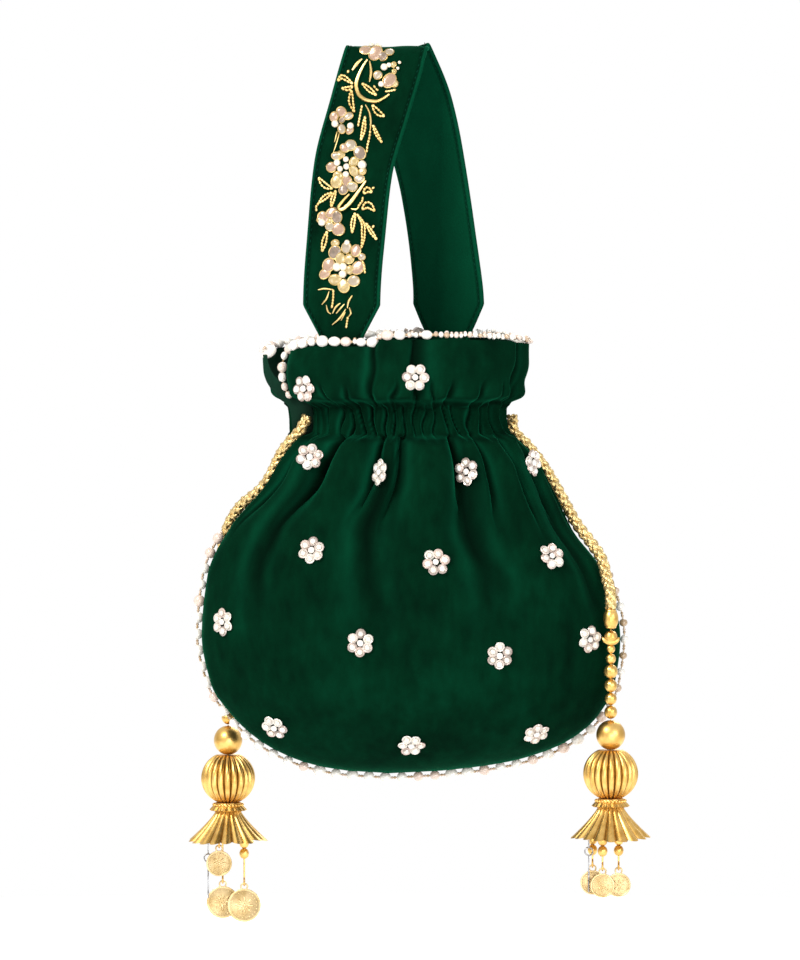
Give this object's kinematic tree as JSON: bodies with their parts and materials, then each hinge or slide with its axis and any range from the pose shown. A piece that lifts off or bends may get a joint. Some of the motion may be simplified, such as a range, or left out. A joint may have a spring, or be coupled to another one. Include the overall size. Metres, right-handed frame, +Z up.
{
  "type": "potli bag",
  "caption": "Gathered velvet drawstring pouch with a folded strap handle, pearl-edged seams, beaded flowers and two gold bead tassels with coin charms.",
  "frame": {"origin": "underside of the strap handle's top fold, where a hand or a hook holds the bag", "axes": "+Z up along the hanging bag, -Y out of the front panel, +X to the right as the front is looked at"},
  "size_m": [0.2413, 0.1072, 0.4608],
  "materials": {
    "bottle_green_velvet": "deep bottle green velvet with a soft nap",
    "pearl_edging": "warm white pearl beads on gold thread",
    "silver_beads": "silvery pearl beads with a faint pink tone",
    "shell_petals": "pinkish silver and gold sequin petals with pearls",
    "zardozi_gold": "coiled gold wire",
    "zari_cord": "braided gold thread",
    "satin_gold": "satin gold plating, darker in the grooves",
    "coin_brass": "pale stamped brass, lightly worn",
    "steel_wire": "thin bright wire"
  },
  "bodies": {
    "bag": {"back_panel": "bottle_green_velvet", "back_rim_pearls": "pearl_edging", "booti_flower_01": "silver_beads", "booti_flower_02": "silver_beads", "booti_flower_03": "silver_beads", "booti_flower_04": "silver_beads", "booti_flower_05": "silver_beads", "booti_flower_06": "silver_beads", "booti_flower_07": "silver_beads", "booti_flower_08": "silver_beads", "booti_flower_09": "silver_beads", "booti_flower_10": "silver_beads", "booti_flower_11": "silver_beads", "booti_flower_12": "silver_beads", "booti_flower_13": "silver_beads", "booti_flower_14": "silver_beads", "booti_flower_15": "silver_beads", "booti_flower_16": "silver_beads", "cord_bead_left": "satin_gold", "cord_bead_right": "satin_gold", "drawstring_left": "zari_cord", "drawstring_right": "zari_cord", "front_panel": "bottle_green_velvet", "front_rim_pearls": "pearl_edging", "handle_strap": "bottle_green_velvet", "seam_pearls": "pearl_edging", "strap_crescent_leaf": "zardozi_gold", "strap_flower_lower": "shell_petals", "strap_flower_middle": "shell_petals", "strap_flower_top": "shell_petals", "strap_flower_upper": "shell_petals", "strap_leaf_pair": "zardozi_gold", "strap_small_flower_lower": "shell_petals", "strap_small_flower_upper": "shell_petals"},
    "left_string": {"bead_string_left": "satin_gold"},
    "left_head": {"tassel_ball_left": "satin_gold", "melon_bead_left": "satin_gold", "collar_left": "satin_gold", "pleated_skirt_left": "satin_gold", "tassel_core_left": "satin_gold"},
    "left_strand_1": {"strand_left_1": "satin_gold"},
    "left_coin_1": {"coin_left_1": "coin_brass"},
    "left_strand_2": {"strand_left_2": "satin_gold"},
    "left_coin_2": {"coin_left_2": "coin_brass"},
    "left_strand_3": {"strand_left_3": "satin_gold"},
    "left_coin_3": {"coin_left_3": "coin_brass"},
    "left_pin": {"eye_pin_left": "steel_wire"},
    "right_string": {"bead_string_right": "satin_gold"},
    "right_head": {"tassel_ball_right": "satin_gold", "melon_bead_right": "satin_gold", "collar_right": "satin_gold", "pleated_skirt_right": "satin_gold", "tassel_core_right": "satin_gold"},
    "right_strand_1": {"strand_right_1": "satin_gold"},
    "right_coin_1": {"coin_right_1": "coin_brass"},
    "right_strand_2": {"strand_right_2": "satin_gold"},
    "right_coin_2": {"coin_right_2": "coin_brass"},
    "right_strand_3": {"strand_right_3": "satin_gold"},
    "right_coin_3": {"coin_right_3": "coin_brass"},
    "right_pin": {"eye_pin_right": "steel_wire"}
  },
  "joints": [
    {"name": "left_string_swing", "type": "hinge", "parent": "bag", "child": "left_string", "pos_m": [-0.0853, 0.03387, -0.3066], "axis": [1, 0, 0], "range_deg": [-8, 40]},
    {"name": "left_tassel_sway", "type": "hinge", "parent": "left_string", "child": "left_head", "pos_m": [-0.0853, 0.03387, -0.3531], "axis": [0, 1, 0], "range_deg": [-20, 20]},
    {"name": "left_strand_swing_1", "type": "hinge", "parent": "left_head", "child": "left_strand_1", "pos_m": [-0.09, 0.03027, -0.4108], "axis": [1, 0, 0], "range_deg": [-25, 9]},
    {"name": "left_coin_swing_1", "type": "hinge", "parent": "left_strand_1", "child": "left_coin_1", "pos_m": [-0.09, 0.03027, -0.417], "axis": [0, 1, 0], "range_deg": [-20, 20]},
    {"name": "left_strand_swing_2", "type": "hinge", "parent": "left_head", "child": "left_strand_2", "pos_m": [-0.0883, 0.03727, -0.4108], "axis": [1, 0, 0], "range_deg": [-2.5, 25]},
    {"name": "left_coin_swing_2", "type": "hinge", "parent": "left_strand_2", "child": "left_coin_2", "pos_m": [-0.0883, 0.03727, -0.4365], "axis": [0, 1, 0], "range_deg": [-20, 20]},
    {"name": "left_strand_swing_3", "type": "hinge", "parent": "left_head", "child": "left_strand_3", "pos_m": [-0.0769, 0.03387, -0.4108], "axis": [1, 0, 0], "range_deg": [-20, 2.5]},
    {"name": "left_coin_swing_3", "type": "hinge", "parent": "left_strand_3", "child": "left_coin_3", "pos_m": [-0.0769, 0.03387, -0.4375], "axis": [0, 1, 0], "range_deg": [-20, 20]},
    {"name": "left_pin_swing", "type": "hinge", "parent": "left_head", "child": "left_pin", "pos_m": [-0.0959, 0.03427, -0.4108], "axis": [0, 1, 0], "range_deg": [-2, 20]},
    {"name": "right_string_swing", "type": "hinge", "parent": "bag", "child": "right_string", "pos_m": [0.114, -0.02797, -0.2986], "axis": [1, 0, 0], "range_deg": [-40, 8]},
    {"name": "right_tassel_sway", "type": "hinge", "parent": "right_string", "child": "right_head", "pos_m": [0.114, -0.02797, -0.3451], "axis": [0, 1, 0], "range_deg": [-20, 20]},
    {"name": "right_strand_swing_1", "type": "hinge", "parent": "right_head", "child": "right_strand_1", "pos_m": [0.1048, -0.02477, -0.4028], "axis": [1, 0, 0], "range_deg": [-2, 25]},
    {"name": "right_coin_swing_1", "type": "hinge", "parent": "right_strand_1", "child": "right_coin_1", "pos_m": [0.1048, -0.02477, -0.4215], "axis": [0, 1, 0], "range_deg": [-20, 20]},
    {"name": "right_strand_swing_2", "type": "hinge", "parent": "right_head", "child": "right_strand_2", "pos_m": [0.1098, -0.03117, -0.4028], "axis": [1, 0, 0], "range_deg": [-25, 3]},
    {"name": "right_coin_swing_2", "type": "hinge", "parent": "right_strand_2", "child": "right_coin_2", "pos_m": [0.1098, -0.03117, -0.4225], "axis": [0, 1, 0], "range_deg": [-20, 20]},
    {"name": "right_strand_swing_3", "type": "hinge", "parent": "right_head", "child": "right_strand_3", "pos_m": [0.1182, -0.02797, -0.4028], "axis": [1, 0, 0], "range_deg": [-3, 20]},
    {"name": "right_coin_swing_3", "type": "hinge", "parent": "right_strand_3", "child": "right_coin_3", "pos_m": [0.1182, -0.02797, -0.4225], "axis": [0, 1, 0], "range_deg": [-20, 20]},
    {"name": "right_pin_swing", "type": "hinge", "parent": "right_head", "child": "right_pin", "pos_m": [0.1028, -0.02817, -0.4028], "axis": [0, 1, 0], "range_deg": [-2, 20]}
  ]
}
